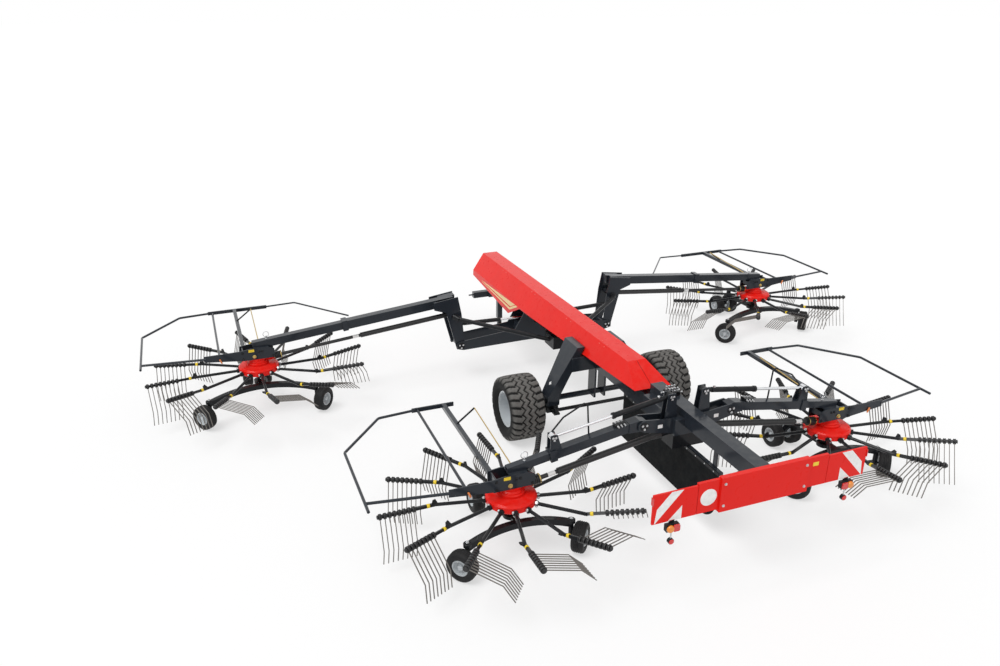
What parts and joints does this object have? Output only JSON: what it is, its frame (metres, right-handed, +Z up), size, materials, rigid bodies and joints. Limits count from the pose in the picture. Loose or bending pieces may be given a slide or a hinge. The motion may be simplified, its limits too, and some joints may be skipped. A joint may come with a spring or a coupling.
{
  "type": "rotary rake",
  "caption": "Towed centre-delivery rotary rake spread out for work, with tined rotors on telescopic folding arms, steered main wheels, a hooded frame and tubular guards.",
  "frame": {"origin": "on the ground, under the centre of the machine's bounding box", "axes": "+X forward along the direction of travel, +Y to the left, +Z up"},
  "size_m": [9.2304, 13.438, 1.77],
  "materials": {
    "red_paint": "gloss red paint on sheet steel and castings",
    "graphite_paint": "satin graphite paint on beams and plates",
    "black_paint": "satin black paint on running gear and drive line",
    "tyre": "matt black tyre rubber",
    "rim_silver": "silver wheel paint",
    "chrome": "hard chrome on cylinder rods",
    "rotor_steel": "black tine arms on a red hub, with bare spring steel tines",
    "curtain_rubber": "matt black rubber sheet"
  },
  "bodies": {
    "chassis": {"main_frame": "graphite_paint", "hood": "red_paint", "rear_board": "red_paint", "swath_curtain": "curtain_rubber", "drive_line": "black_paint"},
    "headstock": {"headstock": "graphite_paint"},
    "stand": {"stand_leg": "black_paint"},
    "tie_rod": {"tie_rod": "black_paint"},
    "knuckle_left": {"knuckle_left": "black_paint"},
    "main_wheel_left": {"main_tyre_left": "tyre", "main_rim_left": "rim_silver"},
    "board_panel_left": {"board_panel_left": "red_paint"},
    "knuckle_right": {"knuckle_right": "black_paint"},
    "main_wheel_right": {"main_tyre_right": "tyre", "main_rim_right": "rim_silver"},
    "board_panel_right": {"board_panel_right": "red_paint"},
    "front_arm_left": {"front_arm_left": "graphite_paint"},
    "front_head_left": {"front_carrier_left": "graphite_paint", "front_gearbox_left": "red_paint", "front_running_gear_left": "black_paint", "front_guard_left": "graphite_paint"},
    "front_rotor_left": {"front_rotor_left": "rotor_steel"},
    "front_outer_wheel_left": {"front_outer_wheel_left": "tyre"},
    "front_inner_wheel_left": {"front_inner_wheel_left": "tyre"},
    "front_twin_wheel_left": {"front_twin_wheel_left": "tyre"},
    "front_lift_barrel_left": {"front_lift_barrel_left": "black_paint"},
    "front_lift_rod_left": {"front_lift_rod_left": "chrome"},
    "front_arm_right": {"front_arm_right": "graphite_paint"},
    "front_head_right": {"front_carrier_right": "graphite_paint", "front_gearbox_right": "red_paint", "front_running_gear_right": "black_paint", "front_guard_right": "graphite_paint"},
    "front_rotor_right": {"front_rotor_right": "rotor_steel"},
    "front_outer_wheel_right": {"front_outer_wheel_right": "tyre"},
    "front_inner_wheel_right": {"front_inner_wheel_right": "tyre"},
    "front_twin_wheel_right": {"front_twin_wheel_right": "tyre"},
    "front_lift_barrel_right": {"front_lift_barrel_right": "black_paint"},
    "front_lift_rod_right": {"front_lift_rod_right": "chrome"},
    "rear_arm_left": {"rear_arm_left": "graphite_paint"},
    "rear_head_left": {"rear_carrier_left": "graphite_paint", "rear_gearbox_left": "red_paint", "rear_running_gear_left": "black_paint", "rear_guard_left": "graphite_paint"},
    "rear_rotor_left": {"rear_rotor_left": "rotor_steel"},
    "rear_outer_wheel_left": {"rear_outer_wheel_left": "tyre"},
    "rear_inner_wheel_left": {"rear_inner_wheel_left": "tyre"},
    "rear_twin_wheel_left": {"rear_twin_wheel_left": "tyre"},
    "rear_lift_barrel_left": {"rear_lift_barrel_left": "black_paint"},
    "rear_lift_rod_left": {"rear_lift_rod_left": "chrome"},
    "rear_arm_right": {"rear_arm_right": "graphite_paint"},
    "rear_head_right": {"rear_carrier_right": "graphite_paint", "rear_gearbox_right": "red_paint", "rear_running_gear_right": "black_paint", "rear_guard_right": "graphite_paint"},
    "rear_rotor_right": {"rear_rotor_right": "rotor_steel"},
    "rear_outer_wheel_right": {"rear_outer_wheel_right": "tyre"},
    "rear_inner_wheel_right": {"rear_inner_wheel_right": "tyre"},
    "rear_twin_wheel_right": {"rear_twin_wheel_right": "tyre"},
    "rear_lift_barrel_right": {"rear_lift_barrel_right": "black_paint"},
    "rear_lift_rod_right": {"rear_lift_rod_right": "chrome"}
  },
  "joints": [
    {"name": "headstock_yaw", "type": "hinge", "parent": "chassis", "child": "headstock", "pos_m": [4.19323, 0, 0.9], "axis": [0, 0, 1], "range_deg": [-60, 60]},
    {"name": "stand_slide", "type": "slide", "parent": "chassis", "child": "stand", "axis": [0, 0, 1], "range_m": [0, 0.35]},
    {"name": "tie_rod_shift", "type": "slide", "parent": "chassis", "child": "tie_rod", "axis": [0, 1, 0], "range_m": [-0.06, 0.06]},
    {"name": "steer_left", "type": "hinge", "parent": "chassis", "child": "knuckle_left", "pos_m": [-0.46677, 0.8, 0.55], "axis": [0, 0, 1], "range_deg": [-15.5, 15.5]},
    {"name": "main_wheel_spin_left", "type": "hinge", "parent": "knuckle_left", "child": "main_wheel_left", "pos_m": [-0.32677, 1.28, 0.51], "axis": [0, 1, 0], "continuous": true},
    {"name": "board_panel_fold_left", "type": "hinge", "parent": "chassis", "child": "board_panel_left", "pos_m": [-4.47477, 0.883, 1.3], "axis": [0, 0, -1], "range_deg": [0, 90]},
    {"name": "steer_right", "type": "hinge", "parent": "chassis", "child": "knuckle_right", "pos_m": [-0.46677, -0.8, 0.55], "axis": [0, 0, 1], "range_deg": [-15.5, 15.5]},
    {"name": "main_wheel_spin_right", "type": "hinge", "parent": "knuckle_right", "child": "main_wheel_right", "pos_m": [-0.32677, -1.28, 0.51], "axis": [0, 1, 0], "continuous": true},
    {"name": "board_panel_fold_right", "type": "hinge", "parent": "chassis", "child": "board_panel_right", "pos_m": [-4.47477, -0.883, 1.3], "axis": [0, 0, 1], "range_deg": [0, 90]},
    {"name": "front_fold_left", "type": "hinge", "parent": "chassis", "child": "front_arm_left", "pos_m": [2.14323, 1.45, 0.645], "axis": [1, 0, 0], "range_deg": [0, 100]},
    {"name": "front_telescope_left", "type": "slide", "parent": "front_arm_left", "child": "front_head_left", "axis": [0, -0.9949, 0.1011], "range_m": [0, 1]},
    {"name": "front_rotor_spin_left", "type": "hinge", "parent": "front_head_left", "child": "front_rotor_left", "pos_m": [2.14323, 4.92, 0.74], "axis": [0, 0, 1], "continuous": true},
    {"name": "front_outer_wheel_spin_left", "type": "hinge", "parent": "front_head_left", "child": "front_outer_wheel_left", "pos_m": [1.66723, 5.861, 0.2], "axis": [-0.6691, 0.7431, 0], "continuous": true},
    {"name": "front_inner_wheel_spin_left", "type": "hinge", "parent": "front_head_left", "child": "front_inner_wheel_left", "pos_m": [1.66723, 3.979, 0.2], "axis": [0.6691, 0.7431, 0], "continuous": true},
    {"name": "front_twin_wheel_spin_left", "type": "hinge", "parent": "front_head_left", "child": "front_twin_wheel_left", "pos_m": [3.09323, 4.92, 0.2], "axis": [0, 1, 0], "continuous": true},
    {"name": "front_lift_swing_left", "type": "hinge", "parent": "chassis", "child": "front_lift_rod_left", "pos_m": [2.03023, 0.12, 1], "axis": [1, 0, 0], "range_deg": [-24.5, 0]},
    {"name": "front_lift_stroke_left", "type": "slide", "parent": "front_lift_rod_left", "child": "front_lift_barrel_left", "axis": [0, 0.9996, 0.029], "range_m": [-0.381, 0]},
    {"name": "front_fold_right", "type": "hinge", "parent": "chassis", "child": "front_arm_right", "pos_m": [2.14323, -1.45, 0.645], "axis": [-1, 0, 0], "range_deg": [0, 100]},
    {"name": "front_telescope_right", "type": "slide", "parent": "front_arm_right", "child": "front_head_right", "axis": [0, 0.9949, 0.1011], "range_m": [0, 1]},
    {"name": "front_rotor_spin_right", "type": "hinge", "parent": "front_head_right", "child": "front_rotor_right", "pos_m": [2.14323, -4.92, 0.74], "axis": [0, 0, 1], "continuous": true},
    {"name": "front_outer_wheel_spin_right", "type": "hinge", "parent": "front_head_right", "child": "front_outer_wheel_right", "pos_m": [1.66723, -5.861, 0.2], "axis": [0.6691, 0.7431, 0], "continuous": true},
    {"name": "front_inner_wheel_spin_right", "type": "hinge", "parent": "front_head_right", "child": "front_inner_wheel_right", "pos_m": [1.66723, -3.979, 0.2], "axis": [-0.6691, 0.7431, 0], "continuous": true},
    {"name": "front_twin_wheel_spin_right", "type": "hinge", "parent": "front_head_right", "child": "front_twin_wheel_right", "pos_m": [3.09323, -4.92, 0.2], "axis": [0, 1, 0], "continuous": true},
    {"name": "front_lift_swing_right", "type": "hinge", "parent": "chassis", "child": "front_lift_rod_right", "pos_m": [2.03023, -0.12, 1], "axis": [-1, 0, 0], "range_deg": [-24.5, 0]},
    {"name": "front_lift_stroke_right", "type": "slide", "parent": "front_lift_rod_right", "child": "front_lift_barrel_right", "axis": [0, -0.9996, 0.029], "range_m": [-0.381, 0]},
    {"name": "rear_fold_left", "type": "hinge", "parent": "chassis", "child": "rear_arm_left", "pos_m": [-2.88677, 0.65, 1.4], "axis": [1, 0, 0], "range_deg": [0, 100]},
    {"name": "rear_telescope_left", "type": "slide", "parent": "rear_arm_left", "child": "rear_head_left", "axis": [0, -0.9857, 0.1685], "range_m": [-0.32, 0.18]},
    {"name": "rear_rotor_spin_left", "type": "hinge", "parent": "rear_head_left", "child": "rear_rotor_left", "pos_m": [-2.88677, 2.42, 0.74], "axis": [0, 0, 1], "continuous": true},
    {"name": "rear_outer_wheel_spin_left", "type": "hinge", "parent": "rear_head_left", "child": "rear_outer_wheel_left", "pos_m": [-3.28677, 3.193, 0.2], "axis": [-0.6691, 0.7431, 0], "continuous": true},
    {"name": "rear_inner_wheel_spin_left", "type": "hinge", "parent": "rear_head_left", "child": "rear_inner_wheel_left", "pos_m": [-3.28677, 1.647, 0.2], "axis": [0.6691, 0.7431, 0], "continuous": true},
    {"name": "rear_twin_wheel_spin_left", "type": "hinge", "parent": "rear_head_left", "child": "rear_twin_wheel_left", "pos_m": [-2.00677, 2.42, 0.2], "axis": [0, 1, 0], "continuous": true},
    {"name": "rear_lift_swing_left", "type": "hinge", "parent": "chassis", "child": "rear_lift_barrel_left", "pos_m": [-2.88677, 0.25, 1.72], "axis": [1, 0, 0], "range_deg": [0, 91.8]},
    {"name": "rear_lift_stroke_left", "type": "slide", "parent": "rear_lift_barrel_left", "child": "rear_lift_rod_left", "axis": [0, 0.9875, -0.1575], "range_m": [-0.766, 0]},
    {"name": "rear_fold_right", "type": "hinge", "parent": "chassis", "child": "rear_arm_right", "pos_m": [-2.88677, -0.65, 1.4], "axis": [-1, 0, 0], "range_deg": [0, 100]},
    {"name": "rear_telescope_right", "type": "slide", "parent": "rear_arm_right", "child": "rear_head_right", "axis": [0, 0.9857, 0.1685], "range_m": [-0.32, 0.18]},
    {"name": "rear_rotor_spin_right", "type": "hinge", "parent": "rear_head_right", "child": "rear_rotor_right", "pos_m": [-2.88677, -2.42, 0.74], "axis": [0, 0, 1], "continuous": true},
    {"name": "rear_outer_wheel_spin_right", "type": "hinge", "parent": "rear_head_right", "child": "rear_outer_wheel_right", "pos_m": [-3.28677, -3.193, 0.2], "axis": [0.6691, 0.7431, 0], "continuous": true},
    {"name": "rear_inner_wheel_spin_right", "type": "hinge", "parent": "rear_head_right", "child": "rear_inner_wheel_right", "pos_m": [-3.28677, -1.647, 0.2], "axis": [-0.6691, 0.7431, 0], "continuous": true},
    {"name": "rear_twin_wheel_spin_right", "type": "hinge", "parent": "rear_head_right", "child": "rear_twin_wheel_right", "pos_m": [-2.00677, -2.42, 0.2], "axis": [0, 1, 0], "continuous": true},
    {"name": "rear_lift_swing_right", "type": "hinge", "parent": "chassis", "child": "rear_lift_barrel_right", "pos_m": [-2.88677, -0.25, 1.72], "axis": [-1, 0, 0], "range_deg": [0, 91.8]},
    {"name": "rear_lift_stroke_right", "type": "slide", "parent": "rear_lift_barrel_right", "child": "rear_lift_rod_right", "axis": [0, -0.9875, -0.1575], "range_m": [-0.766, 0]}
  ],
  "couplings": [
    {"joint": "tie_rod_shift", "follows": "headstock_yaw", "m_per_rad": 0.055},
    {"joint": "steer_left", "follows": "headstock_yaw", "ratio": -0.25},
    {"joint": "steer_right", "follows": "headstock_yaw", "ratio": -0.25},
    {"joint": "front_lift_swing_left", "follows": "front_fold_left", "ratio": -0.23537},
    {"joint": "front_lift_stroke_left", "follows": "front_fold_left", "m_per_rad": -0.21538},
    {"joint": "front_lift_swing_right", "follows": "front_fold_right", "ratio": -0.23537},
    {"joint": "front_lift_stroke_right", "follows": "front_fold_right", "m_per_rad": -0.21538},
    {"joint": "rear_lift_swing_left", "follows": "rear_fold_left", "ratio": 0.90838},
    {"joint": "rear_lift_stroke_left", "follows": "rear_fold_left", "m_per_rad": -0.43577},
    {"joint": "rear_lift_swing_right", "follows": "rear_fold_right", "ratio": 0.90838},
    {"joint": "rear_lift_stroke_right", "follows": "rear_fold_right", "m_per_rad": -0.43577}
  ]
}
